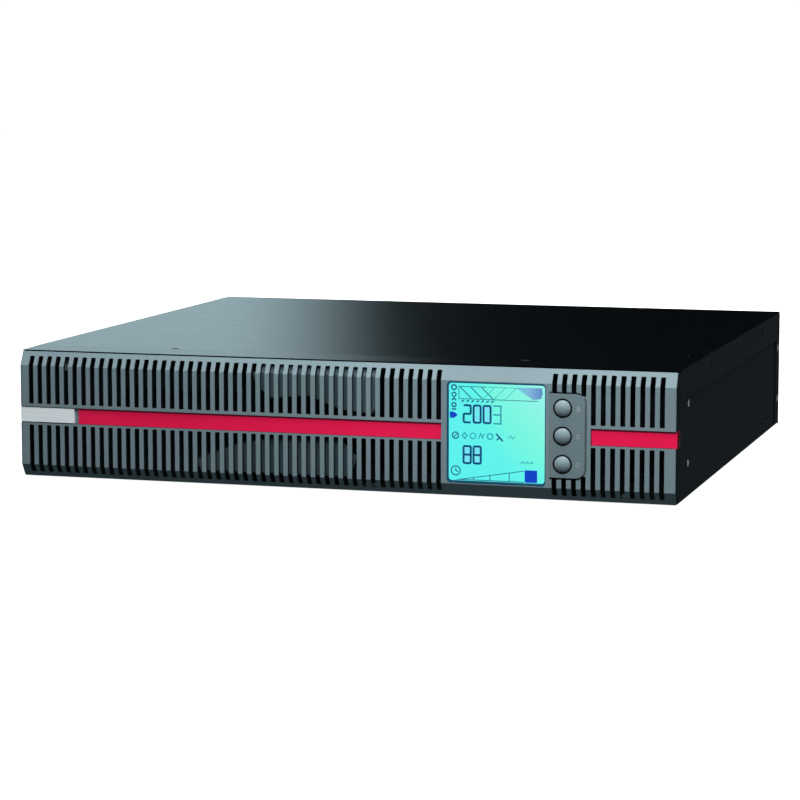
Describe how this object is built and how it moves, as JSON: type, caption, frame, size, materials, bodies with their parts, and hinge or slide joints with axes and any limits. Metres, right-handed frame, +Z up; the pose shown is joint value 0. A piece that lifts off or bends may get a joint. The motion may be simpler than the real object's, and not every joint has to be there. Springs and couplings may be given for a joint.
{
  "type": "uninterruptible power supply",
  "caption": "Low rack-height power supply with battery backup: slotted bezel, red stripe, square display, round buttons, fans and outlets at the rear.",
  "frame": {"origin": "middle of the whole footprint, on the surface the case stands on", "axes": "+X to the right seen from the front, +Y from the bezel to the rear panel, +Z up"},
  "size_m": [0.438, 0.4096, 0.0844],
  "materials": {
    "case_black": "satin black paint",
    "panel_black": "black powder coat",
    "zinc_steel": "zinc plated",
    "screw_black": "black oxide",
    "screw_steel": "nickel plated",
    "bezel_grey": "fine satin moulded",
    "stripe_red": "satin",
    "plate_silver": "satin brushed, blank",
    "window_clear": "clear acrylic",
    "lcd_cyan": "lit from behind",
    "keypad_grey": "satin",
    "button_grey": "semi gloss domed",
    "socket_black": "moulded",
    "brass_contact": "tinned",
    "fan_black": "glass filled",
    "terminal_green": "moulded",
    "board_green": "solder mask",
    "heatsink_alloy": "extruded",
    "component_black": "epoxy",
    "capacitor_blue": "sleeved",
    "core_grey": "ferrite",
    "winding_copper": "enamelled copper",
    "relay_blue": "moulded",
    "battery_case": "moulded, stands in for a sealed lead battery",
    "lead_red": "insulated wire",
    "ribbon_grey": "flat cable",
    "connector_grey": "moulded"
  },
  "bodies": {
    "case": {"chassis_base": "case_black", "top_cover": "case_black", "rear_panel": "panel_black", "front_frame": "zinc_steel", "battery_bay_divider": "zinc_steel", "cover_screws": "screw_black", "side_screws": "screw_black", "outlet_block_lower": "socket_black", "outlet_block_upper": "socket_black", "outlet_contacts": "brass_contact", "inlet_socket": "socket_black", "inlet_pins": "brass_contact", "circuit_breaker": "socket_black", "serial_port": "zinc_steel", "usb_port": "zinc_steel", "emergency_off_terminal": "terminal_green", "surge_jacks": "socket_black", "accessory_slot_cover": "panel_black", "accessory_slot_thumbscrews": "screw_steel", "ground_screw": "screw_steel", "fan_frame_left": "fan_black", "fan_frame_right": "fan_black", "fan_guards": "screw_steel", "fan_screws": "screw_black", "main_board": "board_green", "board_standoffs": "brass_contact", "heatsinks": "heatsink_alloy", "power_transistors": "component_black", "bulk_capacitors": "capacitor_blue", "toroid_chokes": "winding_copper", "transformer_core": "core_grey", "transformer_winding": "winding_copper", "relays": "relay_blue", "control_board": "board_green", "comms_board": "board_green", "battery_leads": "lead_red", "battery_socket": "connector_grey", "display_socket": "connector_grey", "display_cable": "ribbon_grey"},
    "bezel": {"bezel_shell": "bezel_grey", "red_stripe_left": "stripe_red", "red_stripe_right": "stripe_red", "name_plate": "plate_silver", "display_window": "window_clear", "display_panel": "lcd_cyan", "display_board": "board_green", "display_board_screws": "screw_steel", "keypad_plate": "keypad_grey", "tact_switches": "component_black"},
    "battery_pack": {"battery_tray": "zinc_steel", "batteries": "battery_case", "battery_links": "lead_red", "battery_plug": "connector_grey", "tray_thumbscrews": "screw_steel"},
    "button_upper": {"button_upper": "button_grey"},
    "button_middle": {"button_middle": "button_grey"},
    "button_lower": {"button_lower": "button_grey"},
    "fan_rotor_left": {"fan_rotor_left": "fan_black"},
    "fan_rotor_right": {"fan_rotor_right": "fan_black"},
    "breaker_button": {"breaker_button": "connector_grey"}
  },
  "joints": [
    {"name": "button_upper_press", "type": "slide", "parent": "bezel", "child": "button_upper", "axis": [0, 1, 0], "range_m": [0, 0.0012], "stiffness_N_per_m": 900, "springref_m": -0.0006},
    {"name": "button_middle_press", "type": "slide", "parent": "bezel", "child": "button_middle", "axis": [0, 1, 0], "range_m": [0, 0.0012], "stiffness_N_per_m": 900, "springref_m": -0.0006},
    {"name": "button_lower_press", "type": "slide", "parent": "bezel", "child": "button_lower", "axis": [0, 1, 0], "range_m": [0, 0.0012], "stiffness_N_per_m": 900, "springref_m": -0.0006},
    {"name": "fan_left_spin", "type": "hinge", "parent": "case", "child": "fan_rotor_left", "pos_m": [0.09, 0.1823, 0.042], "axis": [0, 1, 0], "continuous": true},
    {"name": "fan_right_spin", "type": "hinge", "parent": "case", "child": "fan_rotor_right", "pos_m": [0.172, 0.1823, 0.042], "axis": [0, 1, 0], "continuous": true},
    {"name": "breaker_trip", "type": "slide", "parent": "case", "child": "breaker_button", "axis": [0, 1, 0], "range_m": [0, 0.004]},
    {"name": "battery_pull", "type": "slide", "parent": "case", "child": "battery_pack", "axis": [0, -1, 0], "range_m": [0, 0.33]},
    {"name": "bezel_pull", "type": "slide", "parent": "case", "child": "bezel", "axis": [0, -1, 0], "range_m": [0, 0.44]}
  ],
  "couplings": [
    {"joint": "bezel_pull", "follows": "battery_pull", "ratio": 1.3333}
  ]
}
